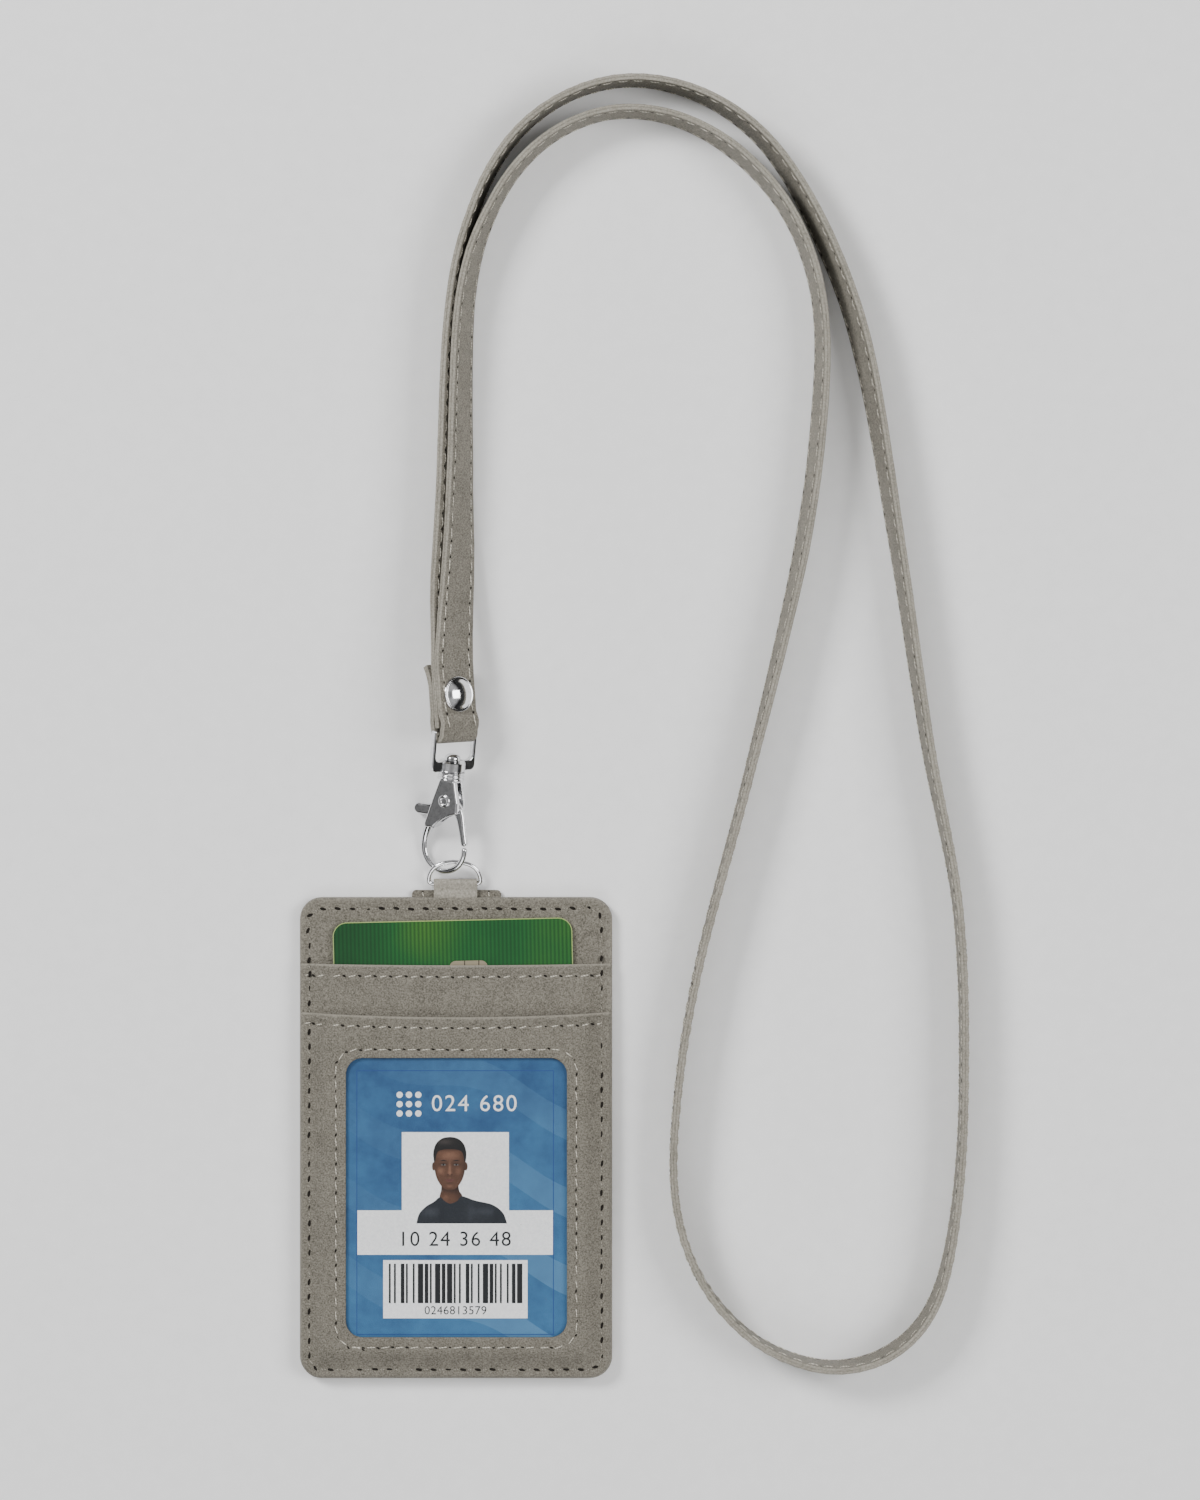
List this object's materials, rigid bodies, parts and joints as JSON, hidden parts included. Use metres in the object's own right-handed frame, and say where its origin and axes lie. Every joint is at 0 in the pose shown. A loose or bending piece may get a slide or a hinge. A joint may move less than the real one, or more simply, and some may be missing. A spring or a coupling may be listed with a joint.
{
  "type": "id badge wallet",
  "caption": "Upright badge wallet with a window pocket, a card pocket behind it, a D-ring tab and a neck strap on a swivelling trigger snap.",
  "frame": {"origin": "centre of the wallet's flat back face, which lies on the surface", "axes": "+X across the wallet to the window's right, +Y up towards the D-ring and the strap, +Z out of the window's face"},
  "size_m": [0.1504, 0.2934, 0.0134],
  "materials": {
    "leatherette": "fine matt grain",
    "strap_leatherette": "fine matt grain",
    "board": "plain",
    "clear_film": "clear gloss",
    "green_card": "satin print",
    "chip_plate": "bright plate",
    "badge_print": "satin print",
    "bright_metal": "polished nickel",
    "spring_wire": "drawn wire"
  },
  "bodies": {
    "wallet": {"back_panel": "leatherette", "stiffener_board": "board", "base_panel": "leatherette", "upper_pocket_panel": "leatherette", "window_panel": "leatherette", "window_film": "clear_film", "hanger_patch": "leatherette", "hanger_tab": "leatherette"},
    "card": {"payment_card": "green_card", "contact_chip": "chip_plate"},
    "badge": {"badge_card": "badge_print"},
    "ring": {"d_ring": "bright_metal"},
    "snap": {"hook_body": "bright_metal", "gate_rivet": "bright_metal", "gate_spring": "spring_wire", "swivel_pin": "bright_metal"},
    "gate": {"hook_gate": "bright_metal"},
    "bow": {"swivel_bow": "bright_metal"},
    "neck_strap": {"strap": "strap_leatherette", "strap_fold": "strap_leatherette", "strap_rivet_cap": "bright_metal", "strap_rivet_post": "bright_metal"}
  },
  "joints": [
    {"name": "card_slide", "type": "slide", "parent": "wallet", "child": "card", "axis": [-0.0227, 0.9997, 0], "range_m": [0, 0.0067]},
    {"name": "badge_slide", "type": "slide", "parent": "wallet", "child": "badge", "axis": [0, 1, 0], "range_m": [0, 0.031]},
    {"name": "ring_swing", "type": "hinge", "parent": "wallet", "child": "ring", "pos_m": [-0.0003, 0.0574, 0.0014], "axis": [1, 0, 0], "range_deg": [-40, 50]},
    {"name": "snap_swing", "type": "hinge", "parent": "ring", "child": "snap", "pos_m": [-0.0003, 0.0623, 0.00358], "axis": [1, 0, 0], "range_deg": [-5, 40]},
    {"name": "gate_open", "type": "hinge", "parent": "snap", "child": "gate", "pos_m": [-0.00148, 0.07623, 0.00558], "axis": [0.483, 0.1246, -0.8667], "range_deg": [0, 16], "stiffness_Nm_per_rad": 0.01, "springref_deg": -11.46, "deforming": ["gate_spring"]},
    {"name": "bow_swivel", "type": "hinge", "parent": "snap", "child": "bow", "pos_m": [-0.00078, 0.08389, 0.00708], "axis": [0.0902, 0.9775, 0.1908], "continuous": true},
    {"name": "strap_turn", "type": "hinge", "parent": "bow", "child": "neck_strap", "pos_m": [-0.00008, 0.09142, 0.00855], "axis": [0.7741, 0.0518, -0.631], "range_deg": [-20, 20]}
  ]
}
